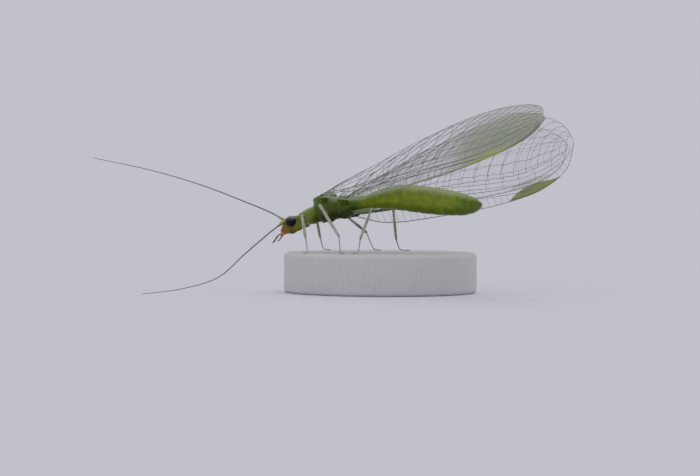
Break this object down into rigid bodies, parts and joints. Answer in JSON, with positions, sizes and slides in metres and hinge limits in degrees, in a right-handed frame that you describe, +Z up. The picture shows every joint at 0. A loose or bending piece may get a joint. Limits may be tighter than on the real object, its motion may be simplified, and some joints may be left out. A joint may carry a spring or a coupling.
{
  "type": "green lacewing insect model",
  "caption": "Life-size still model of a green lacewing standing with its net-veined wings folded back like a roof, on a flat oval display base.",
  "frame": {"origin": "centre of the underside of the oval display base", "axes": "+Z up, -X the way the head points, -Y the insect's left side"},
  "size_m": [0.03, 0.013, 0.0115],
  "materials": {
    "green_cuticle": "soft satin",
    "dark_green_cuticle": "soft satin",
    "face_cuticle": "satin",
    "compound_eye": "glossy",
    "leg_cuticle": "satin",
    "feeler_cuticle": "satin",
    "wing_membrane": "clear and glossy",
    "base_finish": "fine matte"
  },
  "bodies": {
    "root": {"head": "face_cuticle", "eye_left": "compound_eye", "eye_right": "compound_eye", "antenna_left": "feeler_cuticle", "antenna_right": "feeler_cuticle", "prothorax": "green_cuticle", "mesothorax": "dark_green_cuticle", "metathorax": "dark_green_cuticle", "abdomen": "green_cuticle", "front_left_femur": "leg_cuticle", "front_left_tibia": "leg_cuticle", "front_left_tarsus": "leg_cuticle", "front_right_femur": "leg_cuticle", "front_right_tibia": "leg_cuticle", "front_right_tarsus": "leg_cuticle", "middle_left_femur": "leg_cuticle", "middle_left_tibia": "leg_cuticle", "middle_left_tarsus": "leg_cuticle", "middle_right_femur": "leg_cuticle", "middle_right_tibia": "leg_cuticle", "middle_right_tarsus": "leg_cuticle", "hind_left_femur": "leg_cuticle", "hind_left_tibia": "leg_cuticle", "hind_left_tarsus": "leg_cuticle", "hind_right_femur": "leg_cuticle", "hind_right_tibia": "leg_cuticle", "hind_right_tarsus": "leg_cuticle", "forewing_left": "wing_membrane", "forewing_right": "wing_membrane", "hindwing_left": "wing_membrane", "hindwing_right": "wing_membrane", "stand_base": "base_finish"}
  },
  "joints": []
}
